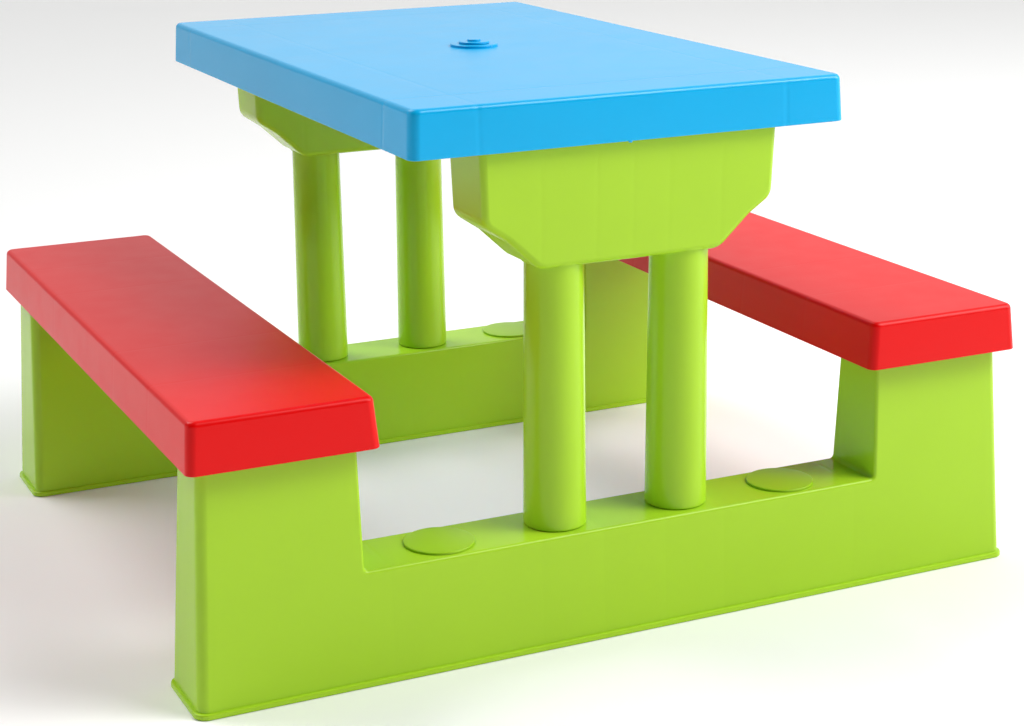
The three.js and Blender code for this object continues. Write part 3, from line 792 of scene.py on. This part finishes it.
screws = {
    # A pan head from its crown to its seat: radius in mm, and height as a share of headHeight
    "head": [(1.2, -1.0), (2.4, -0.97), (3.3, -0.86), (3.85, -0.66), (4.12, -0.4), (4.2, -0.15),
             (4.1, 0.0)],
    "headHeight": 2.6, "neck": 0.3, "core": 1.45, "crest": 2.0, "pitch": 1.6, "point": 3.0,
    "columns": 24, "rowsPerTurn": 8,
    "recess": 1.5, "recessReach": 2.3, "recessWidth": 0.95, "recessTaper": 0.7,
}


def screwBody(s, length):
    # The head, with its seat at 0, then the shank going up. The thread's height is a triangle wave of
    # height over pitch less the share of a turn, and all of it shrinks towards the point.
    head = np.array(s["head"] + [(s["core"] + s["neck"], 0.0)])
    head[:, 1] *= s["headHeight"]
    columns = s["columns"]
    angle = np.arange(columns) * 2 * math.pi / columns
    z = np.linspace(0.1, length, int(length / s["pitch"] * s["rowsPerTurn"]))[:, None]
    wave = np.abs((z / s["pitch"] - angle / (2 * math.pi)) % 1 - 0.5)
    taper = np.clip((length - z) / s["point"], 0.05, 1) ** 0.7
    shank = (s["core"] + (s["crest"] - s["core"]) * np.clip(1 - 4 * wave, 0, 1)) * taper
    radius = np.concatenate([np.repeat(head[:, :1], columns, 1), shank])
    height = np.concatenate([np.repeat(head[:, 1:], columns, 1), np.repeat(z, columns, 1)])
    body = skin(radius * np.cos(angle), radius * np.sin(angle), height)
    # The cross recess: two slots that narrow as they go in
    foot, end, narrow = -s["headHeight"] - 0.2, -s["headHeight"] + s["recess"], s["recessTaper"]
    long, short = s["recessReach"], s["recessWidth"] / 2
    slots = [[(foot, x, y, 0.1), (end, x * narrow, y * narrow, 0.1)]
             for x, y in ((long, short), (short, long))]
    return cutBy(body, [ringBody(levels, steps=2) for levels in slots])


def makeScrews(s, material):
    # One pattern for each length, copied to every screw of that length. Heads are at the lower end,
    # apart from those of the screws that go down into the posts' tops.
    patterns = {}
    for node in [name for name in sorted(frame["nodes"]) if "screw" in name]:
        low, high = cadBox(node)
        down = node.startswith("post_top")
        length = round(float(high[2] - low[2] - s["headHeight"]), 1)
        if length not in patterns:
            patterns[length] = screwBody(s, length)
        seat = high[2] - s["headHeight"] if down else low[2] + s["headHeight"]
        turn = Matrix.Rotation(math.pi if down else 0, 4, "X")
        place = Vector(((low[0] + high[0]) / 2, (low[1] + high[1]) / 2, seat)) * mm
        screw = copyOf(patterns[length], Matrix.Translation(place) @ turn)
        finish(screw, node, "threaded", material, 40)
    for pattern in patterns.values():
        bpy.data.objects.remove(pattern)


# The assembly

# A higher ior gives the skin more shine. Sink is the depth in mm of the lines over the ribs.
plastics = {
    "blue": {"colour": "#08AEE8", "roughness": 0.25, "ior": 1.38, "sink": 0.2},
    "red": {"colour": "#E60203", "roughness": 0.33, "ior": 1.30, "sink": 0.05},
    "green": {"colour": "#AAD62A", "roughness": 0.25, "ior": 1.35, "sink": 0.09},
    "coverGreen": {"colour": "#9ECA20", "roughness": 0.3, "ior": 1.35, "sink": 0},
}

# Where ribs, cups and sockets behind a wall draw it in: an axis, 0 for X or 1 for Y, and the distance
# in mm to both sides of the table's middle
sinkLines = {
    "tabletop": [(0, 144.5), (1, 271)],
    "benches": [(1, 111.7), (1, 223.3)],
    "frames": [(0, 30.7), (0, 90.7), (0, 230)],
    "brackets": [(0, 0), (0, 34.5), (0, 86)],
}

blue = moulded("moulded blue polypropylene", plastics["blue"], sinkLines["tabletop"])
red = moulded("moulded red polypropylene", plastics["red"], sinkLines["benches"])
frameGreen = moulded("moulded green polypropylene of the frames", plastics["green"], sinkLines["frames"])
bracketGreen = moulded("moulded green polypropylene of the brackets", plastics["green"],
                       sinkLines["brackets"])
postGreen = moulded("moulded green polypropylene of the posts", plastics["green"])
coverGreen = moulded("moulded dark green polypropylene", plastics["coverGreen"])
steel = zincPlated("zinc plated steel", zinc)
print("materials done")

makeTabletop(tabletop, blue)
makeSleeve(umbrella, blue)
makePlug(umbrella, blue)
print("tabletop, sleeve and plug done")
for hand in ("left", "right"):
    makeBench(benches, hand, red)
print("benches done")
for end in ("front", "back"):
    makeEndFrame(endFrame, end, frameGreen)
    makeBracket(brackets, end, bracketGreen)
print("end frames and brackets done")
for end in ("front", "back"):
    for hand in ("left", "right"):
        makePost(posts, f"post_{end}_{hand}", postGreen)
        makeCover(covers, f"beam_cap_{end}_{hand}", coverGreen)
print("posts and covers done")
makeScrews(screws, steel)
print("screws done")
